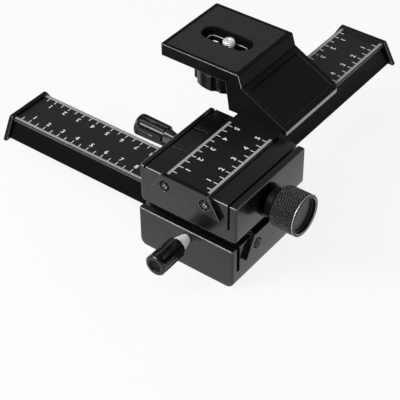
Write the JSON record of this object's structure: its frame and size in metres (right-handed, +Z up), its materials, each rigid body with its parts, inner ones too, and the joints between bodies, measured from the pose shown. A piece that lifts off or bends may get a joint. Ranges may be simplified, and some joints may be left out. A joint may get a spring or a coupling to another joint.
{
  "type": "macro focusing rail",
  "caption": "Two-axis macro focusing rail: crossed dovetail slides with centimetre scales, rack drive knobs, clamp knobs and a raised slotted camera platform.",
  "frame": {"origin": "middle of the lower block's underside, the face that rests on a tripod head", "axes": "+Z up through the stages; +X along the lower rail, the way it travels; +Y along the upper rail towards its long end, which travels along -Y"},
  "size_m": [0.1815, 0.1831, 0.0768],
  "materials": {
    "block_paint": "semi-gloss black paint on cast aluminium",
    "rail_finish": "black anodised aluminium, printed scale",
    "plate_finish": "satin black aluminium",
    "bracket_paint": "satin black paint on cast aluminium",
    "pad_rubber": "fine chequered rubber",
    "drive_knob_finish": "knurled, black anodised",
    "lock_knob_plastic": "fluted black moulding",
    "camera_knob_plastic": "scalloped black moulding",
    "bright_steel": "bright plated",
    "screw_steel": "plated steel",
    "bronze_bush": "sintered bronze",
    "black_bush": "blackened steel",
    "lock_pad_plastic": "natural nylon",
    "gear_steel": "machined steel",
    "spacer_metal": "mill finish",
    "washer_steel": "plated steel"
  },
  "bodies": {
    "base": {"lower_block": "block_paint", "tripod_bush": "bronze_bush", "lower_drive_bush": "black_bush", "lower_lock_pad": "lock_pad_plastic"},
    "lower_slide": {"lower_rail": "rail_finish", "lower_rack": "gear_steel", "lower_end_plate_left": "plate_finish", "lower_end_plate_right": "plate_finish", "lower_plate_screws": "screw_steel", "stage_spacer": "spacer_metal", "stage_screws": "screw_steel", "upper_block": "block_paint", "upper_drive_bush": "black_bush", "upper_lock_pad": "lock_pad_plastic"},
    "upper_slide": {"upper_rail": "rail_finish", "upper_rack": "gear_steel", "upper_end_plate_front": "plate_finish", "upper_end_plate_back": "plate_finish", "upper_plate_screws": "screw_steel", "camera_bracket": "bracket_paint", "bracket_screws": "screw_steel", "platform_pad": "pad_rubber"},
    "lower_drive": {"lower_pinion_shaft": "gear_steel", "lower_drive_knob": "drive_knob_finish", "lower_knob_grub": "screw_steel"},
    "upper_drive": {"upper_pinion_shaft": "gear_steel", "upper_drive_knob": "drive_knob_finish", "upper_knob_grub": "screw_steel"},
    "lower_lock": {"lower_lock_screw": "bright_steel", "lower_lock_knob": "lock_knob_plastic"},
    "upper_lock": {"upper_lock_screw": "bright_steel", "upper_lock_knob": "lock_knob_plastic"},
    "screw_carriage": {"camera_screw_washer": "washer_steel"},
    "camera_screw": {"camera_screw": "bright_steel", "camera_screw_knob": "camera_knob_plastic"}
  },
  "joints": [
    {"name": "lower_travel", "type": "slide", "parent": "base", "child": "lower_slide", "axis": [1, 0, 0], "range_m": [0, 0.098]},
    {"name": "upper_travel", "type": "slide", "parent": "lower_slide", "child": "upper_slide", "axis": [0, -1, 0], "range_m": [0, 0.098]},
    {"name": "lower_drive_turn", "type": "hinge", "parent": "base", "child": "lower_drive", "pos_m": [0.0026, 0, 0.0134], "axis": [0, 1, 0], "range_deg": [-5, 1175]},
    {"name": "upper_drive_turn", "type": "hinge", "parent": "lower_slide", "child": "upper_drive", "pos_m": [0.0018, -0.0026, 0.0414], "axis": [1, 0, 0], "range_deg": [-5, 1175]},
    {"name": "lower_lock_turn", "type": "hinge", "parent": "base", "child": "lower_lock", "pos_m": [0.0006, 0, 0.0189], "axis": [0, -1, 0], "range_deg": [-15, 1080]},
    {"name": "upper_lock_turn", "type": "hinge", "parent": "lower_slide", "child": "upper_lock", "pos_m": [0, 0.0018, 0.0469], "axis": [-1, 0, 0], "range_deg": [-15, 1080]},
    {"name": "camera_screw_slide", "type": "slide", "parent": "upper_slide", "child": "screw_carriage", "axis": [1, 0, 0], "range_m": [-0.01, 0.0005]},
    {"name": "camera_screw_turn", "type": "hinge", "parent": "screw_carriage", "child": "camera_screw", "pos_m": [-0.0343, 0.0543, 0.06], "axis": [0, 0, 1], "continuous": true}
  ],
  "couplings": [
    {"joint": "lower_drive_turn", "follows": "lower_travel", "rad_per_m": 208.33},
    {"joint": "upper_drive_turn", "follows": "upper_travel", "rad_per_m": 208.33}
  ]
}
